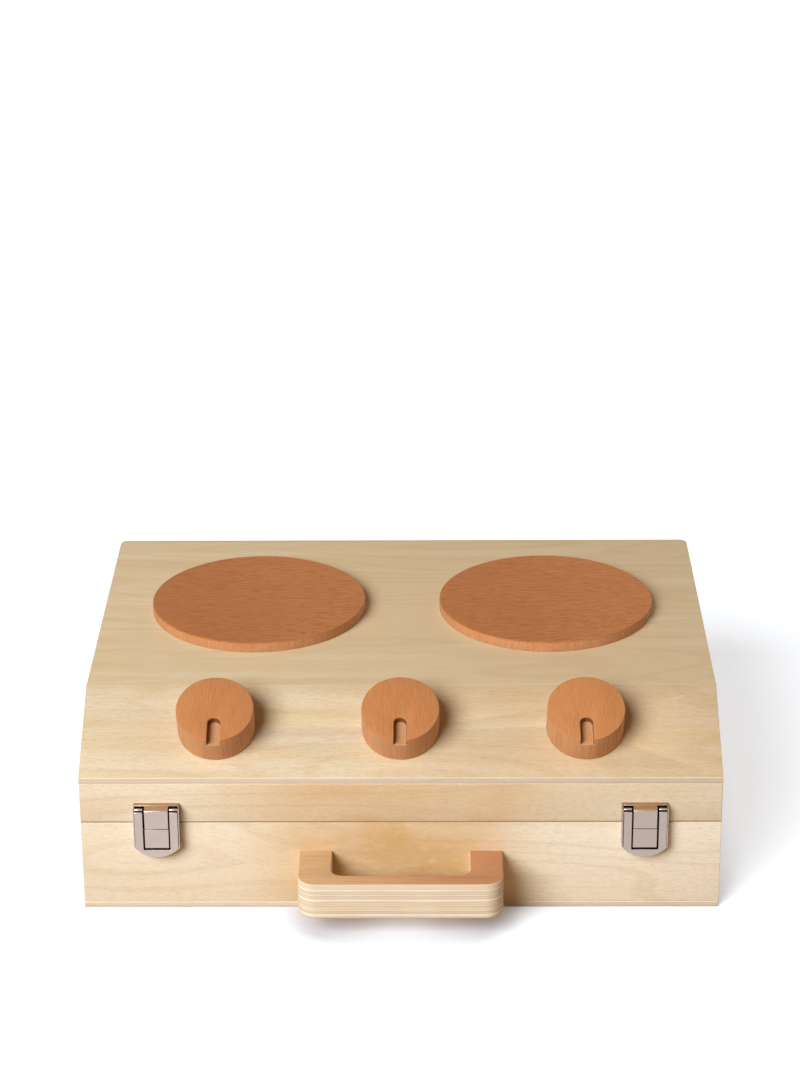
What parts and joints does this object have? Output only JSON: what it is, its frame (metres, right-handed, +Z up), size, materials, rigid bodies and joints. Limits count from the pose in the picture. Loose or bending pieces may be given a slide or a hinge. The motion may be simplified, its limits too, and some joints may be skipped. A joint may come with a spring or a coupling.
{
  "type": "suitcase play kitchen",
  "caption": "Plywood suitcase with a hinged, slope-fronted lid that carries hob discs and turning knobs, a plywood carry handle and metal draw latches",
  "frame": {"origin": "centre of the underside of the bottom panel, on the surface that it stands on", "axes": "+X to the right of someone facing the knobs, +Y to the hinged back, +Z up"},
  "size_m": [0.4, 0.3437, 0.1394],
  "materials": {
    "birch_plywood": "clear matt lacquer",
    "birch_plywood_edge": "clear matt lacquer over cut layers",
    "beech": "oiled",
    "nickel_plated_steel": "satin nickel plate",
    "zinc_plated_steel": "zinc plate"
  },
  "bodies": {
    "case_base": {"base_bottom_panel": "birch_plywood", "base_front_panel": "birch_plywood", "base_back_panel": "birch_plywood", "base_left_panel": "birch_plywood", "base_right_panel": "birch_plywood", "carry_handle": "birch_plywood_edge", "handle_screw_left": "zinc_plated_steel", "handle_screw_right": "zinc_plated_steel", "latch_catch_left": "nickel_plated_steel", "latch_catch_right": "nickel_plated_steel", "latch_catch_left_screw_a": "zinc_plated_steel", "latch_catch_left_screw_b": "zinc_plated_steel", "latch_catch_right_screw_a": "zinc_plated_steel", "latch_catch_right_screw_b": "zinc_plated_steel", "hinge_base_leaf_left": "nickel_plated_steel", "hinge_base_leaf_right": "nickel_plated_steel", "hinge_base_left_screw_a": "zinc_plated_steel", "hinge_base_left_screw_b": "zinc_plated_steel", "hinge_base_right_screw_a": "zinc_plated_steel", "hinge_base_right_screw_b": "zinc_plated_steel", "hinge_pin_left": "zinc_plated_steel", "hinge_pin_right": "zinc_plated_steel"},
    "lid": {"lid_top_panel": "birch_plywood", "lid_slope_panel": "birch_plywood", "lid_front_rail": "birch_plywood", "lid_back_rail": "birch_plywood", "lid_left_side": "birch_plywood", "lid_right_side": "birch_plywood", "burner_left": "beech", "burner_right": "beech", "latch_keeper_left": "nickel_plated_steel", "latch_keeper_right": "nickel_plated_steel", "latch_keeper_left_screw_a": "zinc_plated_steel", "latch_keeper_left_screw_b": "zinc_plated_steel", "latch_keeper_right_screw_a": "zinc_plated_steel", "latch_keeper_right_screw_b": "zinc_plated_steel", "latch_pin_left": "zinc_plated_steel", "latch_pin_right": "zinc_plated_steel", "hinge_lid_leaf_left": "nickel_plated_steel", "hinge_lid_leaf_right": "nickel_plated_steel", "hinge_lid_left_screw_a": "zinc_plated_steel", "hinge_lid_left_screw_b": "zinc_plated_steel", "hinge_lid_right_screw_a": "zinc_plated_steel", "hinge_lid_right_screw_b": "zinc_plated_steel", "knob_left_washer": "zinc_plated_steel", "knob_middle_washer": "zinc_plated_steel", "knob_right_washer": "zinc_plated_steel"},
    "latch_left": {"latch_frame_left": "nickel_plated_steel"},
    "latch_right": {"latch_frame_right": "nickel_plated_steel"},
    "left_knob": {"knob_left": "beech", "knob_left_screw": "zinc_plated_steel"},
    "middle_knob": {"knob_middle": "beech", "knob_middle_screw": "zinc_plated_steel"},
    "right_knob": {"knob_right": "beech", "knob_right_screw": "zinc_plated_steel"}
  },
  "joints": [
    {"name": "lid_hinge", "type": "hinge", "parent": "case_base", "child": "lid", "pos_m": [0, 0.1505, 0.061], "axis": [-1, 0, 0], "range_deg": [0, 160]},
    {"name": "latch_left_swing", "type": "hinge", "parent": "lid", "child": "latch_left", "pos_m": [-0.152, -0.1526, 0.072], "axis": [-1, 0, 0], "range_deg": [0, 135]},
    {"name": "latch_right_swing", "type": "hinge", "parent": "lid", "child": "latch_right", "pos_m": [0.152, -0.1526, 0.072], "axis": [-1, 0, 0], "range_deg": [0, 135]},
    {"name": "knob_left_turn", "type": "hinge", "parent": "lid", "child": "left_knob", "pos_m": [-0.1156, -0.11504, 0.10967], "axis": [0, -0.4724, 0.8814], "continuous": true},
    {"name": "knob_middle_turn", "type": "hinge", "parent": "lid", "child": "middle_knob", "pos_m": [0, -0.11504, 0.10967], "axis": [0, -0.4724, 0.8814], "continuous": true},
    {"name": "knob_right_turn", "type": "hinge", "parent": "lid", "child": "right_knob", "pos_m": [0.1156, -0.11504, 0.10967], "axis": [0, -0.4724, 0.8814], "continuous": true}
  ]
}
